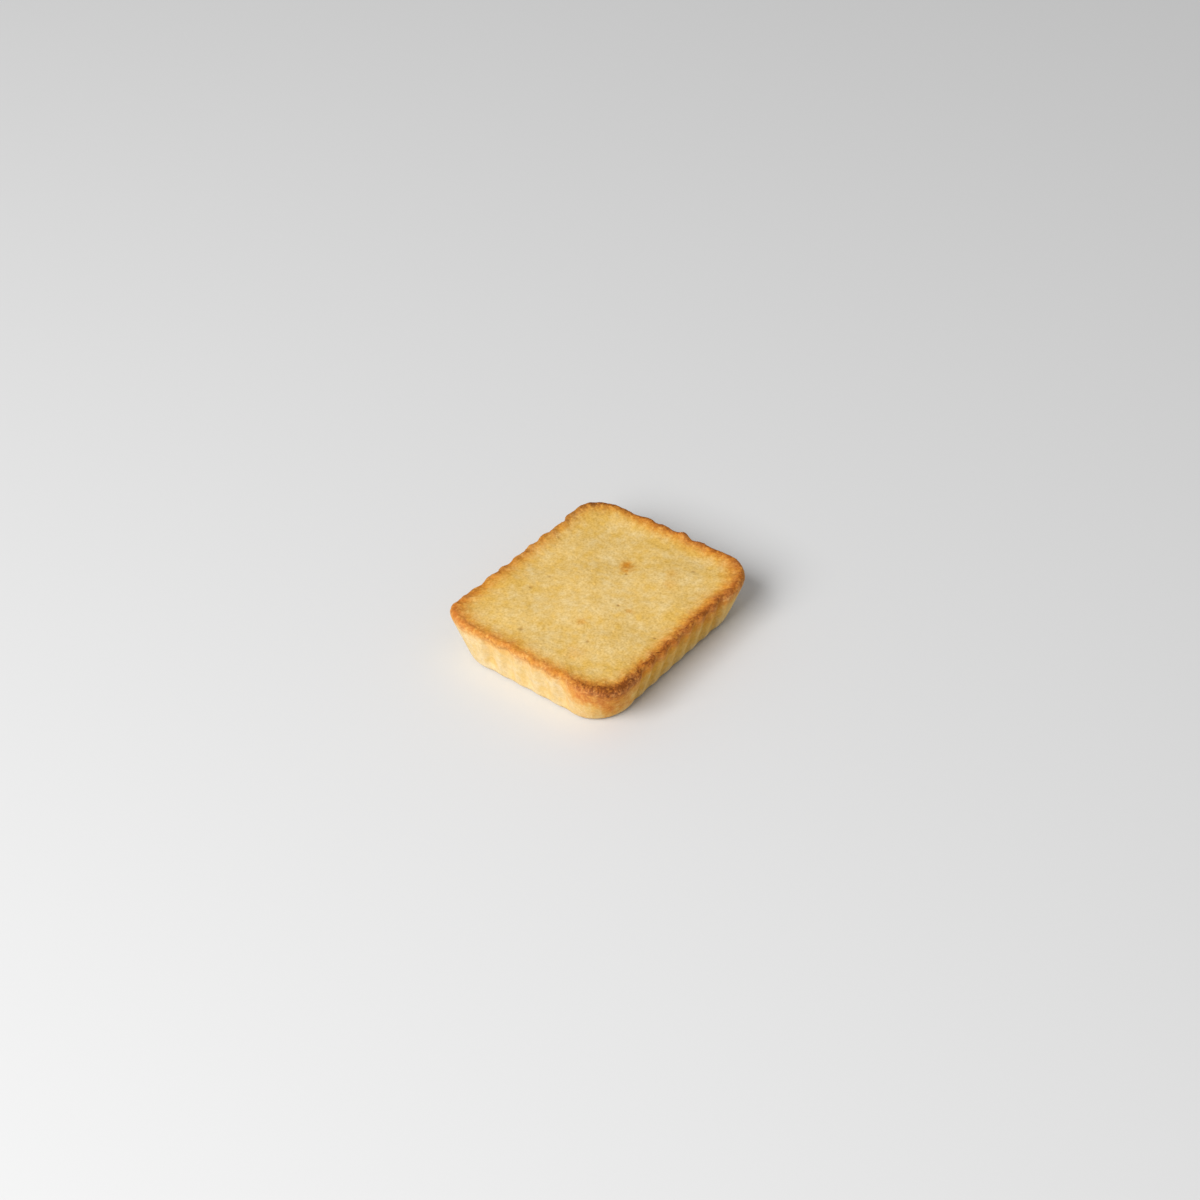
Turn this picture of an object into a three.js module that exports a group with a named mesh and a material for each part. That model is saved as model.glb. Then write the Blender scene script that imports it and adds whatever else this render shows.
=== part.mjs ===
// A pale cake bar, baked in a mould: a low block with round plain corners, fluted sides that
// lean in to the foot, a raised crisp rim and a shallow, slightly domed top. It is one solid.
// Units are millimetres, +Z is up, and the origin is under the middle of the base.
import * as THREE from "three";

// Driving dimensions of the block.
const LENGTH = 90; // along X, over the rim
const WIDTH = 77; // along Y, over the rim
const HEIGHT = 18.8; // base to the mean crest of the rim
const BELLY = 0.5; // how far a side swells out half way up
const FOOT_ROUND = 2; // radius of the edge between side and base
const CORNER_REACH = 16; // distance from a corner's middle over which its own shape fades out

// Flutes are shallow grooves in the four sides, between corners that stand a little proud.
const FLUTE_DEPTH = 1.25;
const FLUTE_FOOT_SHARE = 0.25; // share of that depth left at the foot of a side
const FLUTE_FADE = 8; // height over which the flutes reach their full depth
const FLUTE_CREST_SHARE = 0.45; // share of that depth left at the crest of the rim

// The rim is the crust that climbed the wall of the mould.
const RIM_ROUND = 2; // radius of the outer edge of the crest
const RIM_SLOPE = 8.5; // width of the inner slope, crest to foot
const RIM_DROP = 1; // crest to the foot of the inner slope
const SLOPE_CURVE = 1.6; // 1 for a straight slope, more for one that levels out toward its foot
const DOME = 0.7; // rise of the middle of the top over the foot of that slope
const TOP_TILT = 0.4; // how far the top falls from its middle to its end at +X
const WALL_TOP = HEIGHT - RIM_ROUND; // height where the sides run into the rim

// Counter-clockwise corners. Each slumped a little, dx and dy, from a true rectangle. The curve of
// its rim starts and ends at the distances before and after, and its rim is lifted.
const CORNERS = [
  { sideX: -1, sideY: -1, dx: 0.1, dy: 0.1, before: 14.5, after: 10, lift: 0.5 },
  { sideX: 1, sideY: -1, dx: 1.2, dy: 0, before: 16, after: 13.3, lift: -0.1 },
  { sideX: 1, sideY: 1, dx: -1.4, dy: -1.1, before: 12.5, after: 11, lift: -0.1 },
  { sideX: -1, sideY: 1, dx: -0.1, dy: 0.7, before: 9.8, after: 12.5, lift: 0.7 },
];

// The side that follows each corner: its grooves and the distance between them, how far their
// middle lies from the side's, how far the ridges lie behind the corners, from the first one to
// the last, and the side's lean.
const SIDES = [
  { flutes: 7, pitch: 7.6, shift: -0.9, recess: 0.6, lastRecess: 0.6, lean: 5.2 },
  { flutes: 5, pitch: 8.2, shift: -0.1, recess: -0.4, lastRecess: -0.2, lean: 3.8 },
  { flutes: 7, pitch: 7.6, shift: -1.5, recess: 1.3, lastRecess: -0.2, lean: 3.8 },
  { flutes: 5, pitch: 8.2, shift: 0.5, recess: 0.4, lastRecess: 0.3, lean: 3.2 },
];

// Steps of the outline round a corner, along a plain stretch of a side and over one flute.
const CORNER_STEPS = 8;
const PLAIN_STEPS = 3;
const FLUTE_STEPS = 6;

// Waves of the uneven crest: height, number of waves round the outline, phase.
const CREST_WAVES = [
  { height: 0.2, count: 5, phase: 0.4 },
  { height: 0.15, count: 11, phase: 2.1 },
  { height: 0.12, count: 23, phase: 4 },
  { height: 0.1, count: 57, phase: 1.3 },
];

// A crag of crust on the rim: its height, and its place and spread as shares of the outline.
const CRAG = { at: 0.41, spread: 0.006, height: 1 };

// Swells and hollows of the top: height, wave lengths along X and Y, phase.
const TOP_WAVES = [
  { height: 0.28, alongX: 74, alongY: 61, phase: 0.9 },
  { height: 0.2, alongX: 39, alongY: -47, phase: 2.3 },
  { height: 0.12, alongX: 23, alongY: 29, phase: 5.1 },
];

const QUARTER_TURN = Math.PI / 2;
const ARC_SHARE = Math.PI / 4; // length of a quarter circle as a share of the two tangents at its ends

const smooth = (value) => THREE.MathUtils.smoothstep(value, 0, 1);

// Values from one number up to, but not including, another.
function evenly(from, to, steps) {
  return Array.from({ length: steps }, (_, i) => from + ((to - from) * i) / steps);
}

// The item of a ring of items that follows the k-th.
const next = (items, k) => items[(k + 1) % items.length];

// The way from one point toward another, of a given length.
const toward = (from, to, length) => to.clone().sub(from).setLength(length);

// Direction to the right of a way, which is out of the block on a way round it.
const rightOf = (way) => new THREE.Vector2(way.y, -way.x).normalize();

// Sharp corners of the rim, and the directions out of the sides that follow them.
const points = CORNERS.map(
  (c) => new THREE.Vector2((c.sideX * LENGTH) / 2 + c.dx, (c.sideY * WIDTH) / 2 + c.dy),
);
const outward = points.map((point, k) => rightOf(next(points, k).clone().sub(point)));

// A point of a side's rim at a distance from the corner before it, and the foot under it.
function rimAt(k, distance) {
  return toward(points[k], next(points, k), distance).add(points[k]);
}

function footAt(k, distance) {
  return rimAt(k, distance).addScaledVector(outward[k], -SIDES[k].lean);
}

// Distances from the corner before a side to its first flute, to the end of its last one and to
// the next corner.
function fluteRun(k) {
  const { flutes, pitch, shift } = SIDES[k];
  const span = points[k].distanceTo(next(points, k));
  const first = span / 2 + shift - (flutes * pitch) / 2;
  return { first, last: first + flutes * pitch, span };
}

// About the length of the curve of a corner's rim.
const curveLength = (corner) => ARC_SHARE * (corner.before + corner.after);

// The point at an angle of a quarter of an ellipse, which rounds a sharp corner. Its tangents lead
// back to its start and ahead to its end.
function quarterEllipse(point, back, ahead, angle) {
  return point
    .clone()
    .addScaledVector(back, 1 - Math.sin(angle))
    .addScaledVector(ahead, 1 - Math.cos(angle));
}

// Stations round a corner, from the last flute before it to the first one after it. The rim is
// straight, round and straight again there, and the foot is one long curve. None is grooved.
function bend(k) {
  const corner = CORNERS[k];
  const before = (k + CORNERS.length - 1) % CORNERS.length;
  const sides = { before: fluteRun(before), after: fluteRun(k) };
  const rimBack = toward(points[k], points[before], corner.before);
  const rimAhead = toward(points[k], next(points, k), corner.after);
  const sharpFoot = footAt(k, 0).addScaledVector(outward[before], -SIDES[before].lean);
  const footBack = footAt(before, sides.before.last).sub(sharpFoot);
  const footAhead = footAt(k, sides.after.first).sub(sharpFoot);
  const plainBefore = sides.before.span - sides.before.last - corner.before;
  const plainAfter = sides.after.first - corner.after;
  const curved = curveLength(corner);
  const whole = plainBefore + curved + plainAfter;
  const station = (walked, place, normal) => ({
    place,
    foot: quarterEllipse(sharpFoot, footBack, footAhead, (walked / whole) * QUARTER_TURN),
    normal,
    groove: 0,
    fromMiddle: Math.abs(walked - plainBefore - curved / 2),
    corner,
  });
  return {
    lead: evenly(0, plainBefore, PLAIN_STEPS).map((walked) =>
      station(walked, rimAt(before, sides.before.last + walked), outward[before]),
    ),
    curve: evenly(0, 1, CORNER_STEPS).map((share) => {
      const angle = share * QUARTER_TURN;
      const place = quarterEllipse(points[k], rimBack, rimAhead, angle);
      const way = rimAhead.clone().multiplyScalar(Math.sin(angle));
      way.addScaledVector(rimBack, -Math.cos(angle));
      return station(plainBefore + share * curved, place, rightOf(way));
    }),
    tail: evenly(0, plainAfter, PLAIN_STEPS).map((past) =>
      station(plainBefore + curved + past, rimAt(k, corner.after + past), outward[k]),
    ),
  };
}

// Stations along the flutes of a side.
function fluteStations(k) {
  const { flutes, pitch, recess, lastRecess } = SIDES[k];
  const { first, last, span } = fluteRun(k);
  return evenly(first, last, flutes * FLUTE_STEPS).map((distance) => {
    const phase = (distance - first) / pitch;
    const behind = THREE.MathUtils.lerp(recess, lastRecess, phase / flutes);
    const setBack = behind * smooth(2 * phase) * smooth(2 * (flutes - phase));
    const inFirstHalf = distance < span / 2;
    const corner = inFirstHalf ? CORNERS[k] : next(CORNERS, k);
    const fromCurve = inFirstHalf ? distance - corner.after : span - distance - corner.before;
    return {
      place: rimAt(k, distance),
      foot: footAt(k, distance),
      normal: outward[k],
      groove: setBack + FLUTE_DEPTH * Math.sin(Math.PI * phase) ** 2,
      fromMiddle: fromCurve + curveLength(corner) / 2,
      corner,
    };
  });
}

// Points round the rim: place, the foot under it, outward normal, depth of groove and distance
// from a corner's middle.
function outlineStations() {
  const bends = CORNERS.map((_, k) => bend(k));
  return bends.flatMap(({ curve, tail }, k) => [
    ...curve,
    ...tail,
    ...fluteStations(k),
    ...next(bends, k).lead,
  ]);
}

// 1 at the middle of a corner, falling smoothly to 0 along the sides.
function cornerness(station) {
  return 1 - smooth(station.fromMiddle / CORNER_REACH);
}

// How far the crest of the rim lies over its mean height.
function crestRise(station) {
  const waves = CREST_WAVES.map(
    (w) => w.height * Math.sin(2 * Math.PI * w.count * station.turnShare + w.phase),
  );
  const crag = CRAG.height * Math.exp(-(((station.turnShare - CRAG.at) / CRAG.spread) ** 2));
  return waves.reduce((sum, wave) => sum + wave, crag) + station.corner.lift * cornerness(station);
}

// Height of the top inside the rim: a low, slightly tilted dome with swells and hollows.
function topHeight(x, y) {
  const dome = DOME * Math.cos((Math.PI * x) / LENGTH) * Math.cos((Math.PI * y) / WIDTH);
  const tilt = (-2 * TOP_TILT * x) / LENGTH;
  const swells = TOP_WAVES.map(
    (w) => w.height * Math.sin(2 * Math.PI * (x / w.alongX + y / w.alongY) + w.phase),
  );
  return swells.reduce((sum, swell) => sum + swell, HEIGHT - RIM_DROP + dome + tilt);
}

// A point of a side at a height, set in further by the rounding of the foot.
function wallPoint(station, z, rounding) {
  const share = 1 - z / WALL_TOP;
  const belly = BELLY * (1 - cornerness(station)) * Math.sin(Math.PI * share);
  const flute = THREE.MathUtils.lerp(FLUTE_FOOT_SHARE, 1, smooth(z / FLUTE_FADE));
  return station.place
    .clone()
    .lerp(station.foot, share)
    .addScaledVector(station.normal, belly - station.groove * flute - rounding);
}

// Gives each station its distance along the outline, as a share of the whole way round.
function measureOutline(stations) {
  let walked = 0;
  stations.forEach((station, i) => {
    walked += i > 0 ? station.place.distanceTo(stations[i - 1].place) : 0;
    station.walked = walked;
  });
  const round = walked + stations[0].place.distanceTo(stations.at(-1).place);
  stations.forEach((station) => {
    station.turnShare = station.walked / round;
  });
  return stations;
}

const stations = measureOutline(outlineStations());

const positions = [];
const faces = [];

function addPoint(x, y, z) {
  positions.push(x, y, z);
  return positions.length / 3 - 1;
}

function onNormal(station, inset) {
  return station.place.clone().addScaledVector(station.normal, -inset);
}

// A ring of the sides at a height.
function wallRing(z, rounding = 0) {
  return stations.map((station) => {
    const p = wallPoint(station, z, rounding);
    return addPoint(p.x, p.y, z);
  });
}

// A ring on the round outer edge of the rim, at an angle from level to the crest.
function lipRing(angle) {
  const inset = RIM_ROUND * (1 - Math.cos(angle));
  const below = RIM_ROUND * (1 - Math.sin(angle));
  const flute = THREE.MathUtils.lerp(1, FLUTE_CREST_SHARE, Math.sin(angle));
  return stations.map((station) => {
    const p = onNormal(station, inset + station.groove * flute);
    return addPoint(p.x, p.y, HEIGHT + crestRise(station) - below);
  });
}

// Foot of the inner slope at a station: the outline drawn in, so that its corners stay round.
function slopeFoot(station) {
  const reach = 2 * (RIM_ROUND + RIM_SLOPE);
  return new THREE.Vector2(1 - reach / LENGTH, 1 - reach / WIDTH).multiply(station.place);
}

// A ring of the inner slope, steep at the crest and level at its foot, where flutes and crest waves end.
function slopeRing(share) {
  const fall = 1 - (1 - share) ** SLOPE_CURVE;
  return stations.map((station) => {
    const p = onNormal(station, RIM_ROUND + station.groove * FLUTE_CREST_SHARE);
    p.lerp(slopeFoot(station), share);
    const crest = HEIGHT + crestRise(station);
    return addPoint(p.x, p.y, THREE.MathUtils.lerp(crest, topHeight(p.x, p.y), fall));
  });
}

// A ring of the top, drawn in from the foot of the slope, with every step-th station.
function topRing(share, step) {
  const kept = stations.filter((_, i) => i % step === 0);
  return kept.map((station) => {
    const p = slopeFoot(station).multiplyScalar(share);
    return addPoint(p.x, p.y, topHeight(p.x, p.y));
  });
}

// A ring of the flat base, drawn in from the foot, with every step-th station.
function baseRing(share, step) {
  const kept = stations.filter((_, i) => i % step === 0);
  return kept.map((station) => {
    const p = wallPoint(station, 0, FOOT_ROUND).multiplyScalar(share);
    return addPoint(p.x, p.y, 0);
  });
}

// Triangles between two rings, the second one outside, above or inside the first.
function joinRings(first, second) {
  let i = 0;
  let j = 0;
  while (i < first.length || j < second.length) {
    const a = first[i % first.length];
    const b = second[j % second.length];
    if (i < first.length && (i + 1) * second.length <= (j + 1) * first.length) {
      i += 1;
      if (first.length > 1) faces.push(a, first[i % first.length], b);
    } else {
      j += 1;
      if (second.length > 1) faces.push(a, second[j % second.length], b);
    }
  }
}

// Rings from the middle of the base, out and up the side, over the rim and in to the middle of the top.
const EIGHTH_TURN = Math.PI / 4;
const rounded = FOOT_ROUND * (1 - Math.cos(EIGHTH_TURN));
const rings = [
  [addPoint(0, 0, 0)],
  baseRing(0.5, 2),
  wallRing(0, FOOT_ROUND),
  wallRing(rounded, rounded),
  ...[0, 0.35, 0.7].map((share) => wallRing(THREE.MathUtils.lerp(FOOT_ROUND, WALL_TOP, share))),
  ...[0, EIGHTH_TURN, 2 * EIGHTH_TURN].map(lipRing),
  ...[0.2, 0.45, 0.72, 1].map(slopeRing),
  topRing(0.78, 1),
  topRing(0.54, 2),
  topRing(0.27, 4),
  [addPoint(0, 0, topHeight(0, 0))],
];
for (let k = 0; k + 1 < rings.length; k++) joinRings(rings[k], rings[k + 1]);

const geometry = new THREE.BufferGeometry();
geometry.setAttribute("position", new THREE.Float32BufferAttribute(positions, 3));
geometry.setIndex(faces);

// The slumped corners leave the block a little off centre, so it is set back over the origin.
geometry.computeBoundingBox();
const middle = geometry.boundingBox.getCenter(new THREE.Vector3());
geometry.translate(-middle.x, -middle.y, 0);
geometry.computeVertexNormals();

const bakedCrumb = new THREE.MeshStandardMaterial({ color: 0xdcb463, roughness: 0.8, metalness: 0 });
const cake = new THREE.Mesh(geometry, bakedCrumb);
cake.name = "cake";

const bar = new THREE.Group();
bar.add(cake);

export default bar;
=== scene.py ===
"""Looks of a pale golden cake bar: granular crumb, fluted sides and a browned rim, on a plain floor."""
import logging
import math
from collections.abc import Sequence
from dataclasses import dataclass, field
from enum import Enum
from typing import ClassVar

import bpy
import numpy as np
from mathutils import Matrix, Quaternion, Vector


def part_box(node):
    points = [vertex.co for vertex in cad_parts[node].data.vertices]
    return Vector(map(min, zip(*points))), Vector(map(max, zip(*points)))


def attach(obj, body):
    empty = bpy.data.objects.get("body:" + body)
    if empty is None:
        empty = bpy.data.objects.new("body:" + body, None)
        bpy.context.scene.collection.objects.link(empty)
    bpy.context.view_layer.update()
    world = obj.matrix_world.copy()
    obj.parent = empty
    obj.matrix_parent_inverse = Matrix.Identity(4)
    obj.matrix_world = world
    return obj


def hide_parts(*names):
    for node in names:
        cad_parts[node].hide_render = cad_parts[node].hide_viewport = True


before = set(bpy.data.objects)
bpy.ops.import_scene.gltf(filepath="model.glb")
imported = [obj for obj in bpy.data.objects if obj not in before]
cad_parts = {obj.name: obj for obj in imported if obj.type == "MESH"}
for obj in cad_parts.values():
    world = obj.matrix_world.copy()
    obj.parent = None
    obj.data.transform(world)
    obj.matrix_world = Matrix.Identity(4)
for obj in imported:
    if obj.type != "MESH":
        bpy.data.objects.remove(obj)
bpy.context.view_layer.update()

MM = 0.001
BODY = "root"
NODE = "cake"
SLOT = "baked_crumb"
CRUMB_SEED = 11

Socket = bpy.types.NodeSocket
Value = Socket | float | Sequence[float]
Range = tuple[float, float]
Colour = tuple[int, int, int]
Stops = tuple[tuple[float, Colour], ...]
Swells = tuple[tuple[float, float], ...]

FULL: Range = (0.0, 1.0)

log = logging.getLogger("cake_bar")


class Trait(Enum):
    """What is known of every point of the skin, under the name that the finish reads it by."""

    # Browning, with some painted shade on the near corner and in the flute hollows.
    TOAST = "toast"
    # Singe, with painted shade on the lip, in a line inside the crest and in the flute hollows.
    SINGE = "singe"
    # Golden colour of the sides, with painted shade on the sides turned from the light and in the flute
    # hollows.
    GOLD = "gold"
    TONE = "tone"
    SIDE = "side"
    PIT = "pit"
    GRAIN = "grain"


class Blend(Enum):
    """Ways to lay one colour over another."""

    OVER = "MIX"
    TINT = "MULTIPLY"


def smooth(value: np.ndarray) -> np.ndarray:
    """Eases a value from 0 to 1, flat at both ends."""
    held = np.clip(value, 0.0, 1.0)
    return held * held * (3.0 - 2.0 * held)


def blend(start: np.ndarray, end: np.ndarray, share: np.ndarray) -> np.ndarray:
    """A value that share of the way from start to end."""
    return start + (end - start) * share


def fade(distance: np.ndarray, reach: np.ndarray | float, curve: float = 2.0) -> np.ndarray:
    """A share that falls from 1 where the distance is 0 to almost 0 far past the reach.

    Args:
        distance: Distances from the place where the share is 1.
        reach: Distance at which about a third is left.
        curve: How sharply the share falls there.

    Returns:
        A share for each distance.
    """
    return np.exp(-((distance / reach) ** curve))


def quarter_ellipse(
    corner: np.ndarray, back: np.ndarray, ahead: np.ndarray, angle: np.ndarray
) -> np.ndarray:
    """Points on the quarter of an ellipse that rounds a sharp corner.

    Args:
        corner: The sharp corner.
        back: The way from it back to the start of the curve.
        ahead: The way from it ahead to the end of the curve.
        angle: Angles of the quarter turn.

    Returns:
        A place for each angle.
    """
    return corner + np.outer(1.0 - np.sin(angle), back) + np.outer(1.0 - np.cos(angle), ahead)


def linear(colour: Colour) -> tuple[float, float, float, float]:
    """Turns a screen colour into the light values that shaders use.

    Args:
        colour: Red, green and blue from 0 to 255.

    Returns:
        Linear red, green and blue, and full opacity.
    """
    parts = [c / 255.0 for c in colour]
    red, green, blue = (p / 12.92 if p <= 0.04045 else ((p + 0.055) / 1.055) ** 2.4 for p in parts)
    return red, green, blue, 1.0


class CrumbNoise:
    """Random fields in space, drawn once from a seed, for the crumb's relief and colour."""

    LATTICE: ClassVar[tuple[int, int, int]] = (128, 128, 64)
    WAVE_GAIN: ClassVar[float] = 1.6
    SHUFFLE: ClassVar[Range] = (7.0, 3.0)

    def __init__(self, seed: int) -> None:
        """Draws the random numbers of the lattice that the fields are made from."""
        self.draws = np.random.default_rng(seed).random((*self.LATTICE, 3))

    def at(self, cells: np.ndarray) -> np.ndarray:
        """Three random numbers from 0 to 1 that belong to each whole-number cell."""
        x, y, z = (cells[..., k] % self.LATTICE[k] for k in range(3))
        return self.draws[x, y, z]

    def waves(self, points: np.ndarray, size: float) -> np.ndarray:
        """Smooth noise without a direction.

        Args:
            points: Places in millimetres, one a row.
            size: Width of one swell in millimetres.

        Returns:
            A value of about -1 to 1 for each point.
        """
        scaled = points / size
        low = np.floor(scaled).astype(int)
        part = scaled - low
        ease = part**3 * (part * (part * 6.0 - 15.0) + 10.0)
        total = np.zeros(len(points))
        for corner in np.ndindex(2, 2, 2):
            slope = 2.0 * self.at(low + np.array(corner)) - 1.0
            height = np.sum(slope * (part - np.array(corner)), axis=1)
            weight = np.prod(np.where(corner, ease, 1.0 - ease), axis=1)
            total += weight * height
        return self.WAVE_GAIN * total

    def mixed(self, points: np.ndarray, swells: Swells) -> np.ndarray:
        """Smooth noise of several sizes together.

        Args:
            points: Places in millimetres, one a row.
            swells: The size and the weight of each kind of swell.

        Returns:
            A value for each point.
        """
        return sum(weight * self.waves(points, size) for size, weight in swells)

    def grains(self, points: np.ndarray, size: float) -> tuple[np.ndarray, np.ndarray]:
        """Space split into grains about random middles.

        Args:
            points: Places in millimetres, one a row.
            size: Mean width of a grain in millimetres.

        Returns:
            The distance to the nearest middle in grain widths, and a number from 0 to 1 that is the
            grain's own.
        """
        scaled = points / size
        home = np.floor(scaled).astype(int)
        nearest = np.full(len(points), np.inf)
        own = np.zeros(len(points))
        for step in np.ndindex(3, 3, 3):
            cell = home + np.array(step) - 1
            draw = self.at(cell)
            distance = np.linalg.norm(cell + draw - scaled, axis=1)
            closer = distance < nearest
            nearest = np.where(closer, distance, nearest)
            shuffled = (draw[:, 0] * self.SHUFFLE[0] + draw[:, 2] * self.SHUFFLE[1]) % 1.0
            own = np.where(closer, shuffled, own)
        return nearest, own


@dataclass(frozen=True)
class Corner:
    """One slumped corner of the outline, in millimetres.

    Slump is how far it lies off the corner of a true rectangle, before and after are the lengths of its
    curve along the two sides, and lift is how far its rim is raised.
    """

    side_x: int
    side_y: int
    slump: tuple[float, float]
    before: float
    after: float
    lift: float


@dataclass(frozen=True)
class Side:
    """One fluted side, which follows the corner of the same place in the list, in millimetres.

    Shift is how far its flutes lie off the middle, recess and last_recess are how far they are set back
    at the two ends, and lean is how far the foot lies in under the rim.
    """

    flutes: int
    pitch: float
    shift: float
    recess: float
    last_recess: float
    lean: float


@dataclass(frozen=True)
class Wave:
    """One wave of an uneven surface: its height, how it runs and where it starts."""

    height: float
    run: tuple[float, ...]
    phase: float


@dataclass(frozen=True)
class Browning:
    """How the crust is baked at one place of the outline.

    Strength is how brown the crest of the rim is, and singe how dark. Inward and down are how far the
    browning reaches over the top and the side, and deep how far the singe reaches down the side, in
    millimetres. Side golden and shade is how golden and dark the side is below it: golden crust, with
    painted shade where the side is turned from the light. Side brown and shade is how brown it is there,
    mostly over a height of above, with painted shade on the shaded half of the near corner, and lip how
    dark the outer edge of the rim is, which is painted shade.
    """

    at: float
    strength: float
    singe: float
    inward: float
    down: float
    deep: float
    side_golden_and_shade: float
    side_brown_and_shade: float = 0.0
    above: float = 2.0
    lip: float = 0.0


@dataclass(frozen=True)
class Mark:
    """A browned spot or a small pit on the top, in millimetres."""

    x: float
    y: float
    radius: float
    toast: float = 0.0
    pit: float = 0.0


CORNERS = (
    Corner(-1, -1, (0.1, 0.1), before=14.5, after=10.0, lift=0.5),
    Corner(1, -1, (1.2, 0.0), before=16.0, after=13.3, lift=-0.1),
    Corner(1, 1, (-1.4, -1.1), before=12.5, after=11.0, lift=-0.1),
    Corner(-1, 1, (-0.1, 0.7), before=9.8, after=12.5, lift=0.7),
)

SIDES = (
    Side(flutes=7, pitch=7.6, shift=-0.9, recess=0.6, last_recess=0.6, lean=5.2),
    Side(flutes=5, pitch=8.2, shift=-0.1, recess=-0.4, last_recess=-0.2, lean=3.8),
    Side(flutes=7, pitch=7.6, shift=-1.5, recess=1.3, last_recess=-0.2, lean=3.8),
    Side(flutes=5, pitch=8.2, shift=0.5, recess=0.4, last_recess=0.3, lean=3.2),
)

CREST_WAVES = (
    Wave(0.2, (5,), 0.4),
    Wave(0.15, (11,), 2.1),
    Wave(0.12, (23,), 4.0),
    Wave(0.1, (57,), 1.3),
)

TOP_WAVES = (
    Wave(0.28, (74.0, 61.0), 0.9),
    Wave(0.2, (39.0, -47.0), 2.3),
    Wave(0.12, (23.0, 29.0), 5.1),
)

# Round the outline from the near corner: the near side in shade, the wide right corner, the two far sides,
# the left corner and the lit side. The sides turned from the light are painted more golden and dark, and
# the outer edge of the rim darker, most on the lit side: painted shade.
BROWNINGS = (
    Browning(
        0.005, 0.84, singe=0.5, inward=2.4, down=4.2, deep=1.8, side_golden_and_shade=0.5, side_brown_and_shade=0.5, above=7.0, lip=0.15
    ),
    Browning(0.018, 0.95, singe=0.85, inward=2.2, down=4.8, deep=2.5, side_golden_and_shade=0.8, side_brown_and_shade=0.46, above=6.8),
    # Painted shade: the side brown reaches the foot only on the shaded half of the near corner.
    Browning(0.033, 1.0, singe=0.95, inward=2.1, down=5.0, deep=2.7, side_golden_and_shade=0.72, side_brown_and_shade=0.42, above=6.0),
    Browning(0.045, 1.0, singe=1.0, inward=2.1, down=5.0, deep=2.8, side_golden_and_shade=1.0, side_brown_and_shade=0.54, above=0.5),
    Browning(0.06, 0.98, singe=0.95, inward=2.1, down=4.5, deep=2.3, side_golden_and_shade=1.0, side_brown_and_shade=0.34, above=-1.0),
    Browning(0.1, 0.92, singe=0.76, inward=2.1, down=2.8, deep=0.85, side_golden_and_shade=0.9, side_brown_and_shade=0.12, above=0.5),
    Browning(0.15, 0.86, singe=0.55, inward=2.5, down=2.8, deep=0.8, side_golden_and_shade=0.88, side_brown_and_shade=0.06),
    Browning(0.2, 0.87, singe=0.58, inward=2.7, down=3.3, deep=0.8, side_golden_and_shade=0.88, side_brown_and_shade=0.04),
    Browning(0.25, 0.97, singe=0.48, inward=2.8, down=4.6, deep=0.9, side_golden_and_shade=0.86, side_brown_and_shade=0.04, lip=0.1),
    Browning(0.31, 0.86, singe=0.28, inward=2.6, down=4.0, deep=0.8, side_golden_and_shade=0.7, side_brown_and_shade=0.02, lip=0.15),
    Browning(0.38, 0.88, singe=0.46, inward=2.4, down=4.0, deep=1.2, side_golden_and_shade=0.5, side_brown_and_shade=0.06),
    Browning(0.46, 0.74, singe=0.45, inward=2.3, down=4.0, deep=1.2, side_golden_and_shade=0.5, side_brown_and_shade=0.06),
    Browning(0.535, 0.66, singe=0.8, inward=2.1, down=4.2, deep=1.2, side_golden_and_shade=0.4, side_brown_and_shade=0.06, lip=0.1),
    Browning(0.6, 0.46, singe=0.3, inward=2.9, down=4.0, deep=1.2, side_golden_and_shade=0.5, side_brown_and_shade=0.06, lip=0.15),
    Browning(0.68, 0.56, singe=0.27, inward=2.8, down=4.0, deep=1.2, side_golden_and_shade=0.4, side_brown_and_shade=0.05, lip=0.15),
    Browning(0.75, 0.57, singe=0.25, inward=3.1, down=3.6, deep=1.2, side_golden_and_shade=0.3, side_brown_and_shade=0.03, lip=0.15),
    Browning(0.81, 1.0, singe=0.0, inward=2.4, down=2.2, deep=0.8, side_golden_and_shade=0.2, side_brown_and_shade=0.02, lip=0.24),
    Browning(0.86, 0.58, singe=0.0, inward=2.7, down=2.5, deep=0.8, side_golden_and_shade=0.12, side_brown_and_shade=0.02, lip=0.28),
    Browning(0.92, 0.6, singe=0.0, inward=2.7, down=2.3, deep=0.8, side_golden_and_shade=0.03, lip=0.26),
    Browning(0.975, 0.64, singe=0.06, inward=2.4, down=2.4, deep=0.9, side_golden_and_shade=0.06, side_brown_and_shade=0.03, lip=0.3),
)

# Places on the top, from the middle of the bar.
MARKS = (
    Mark(16.7, 0.9, 2.3, toast=0.58),
    Mark(18.2, 2.1, 1.4, toast=0.4),
    Mark(14.5, -0.5, 1.1, toast=0.46),
    Mark(13.3, -1.5, 0.5, pit=0.8),
    Mark(18.3, -17.5, 2.4, toast=0.18),
    Mark(23.3, -14.6, 2.2, toast=0.15),
    Mark(-31.3, -12.9, 3.0, toast=0.2),
    Mark(-2.1, -14.6, 1.2, toast=0.34),
    Mark(-17.1, -4.6, 1.7, toast=0.3),
    Mark(-2.1, -9.6, 0.55, pit=1.0),
    Mark(-24.0, -12.7, 0.55, pit=1.0),
    Mark(-32.9, 10.4, 0.75, pit=0.8),
    Mark(-13.3, 21.7, 0.75, pit=0.7),
    Mark(-4.6, 20.0, 0.55, pit=0.6),
    Mark(-7.9, -30.4, 0.55, pit=0.9),
    Mark(29.6, -20.0, 0.55, pit=0.8),
    Mark(15.0, 31.3, 0.55, pit=0.7),
)


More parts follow.
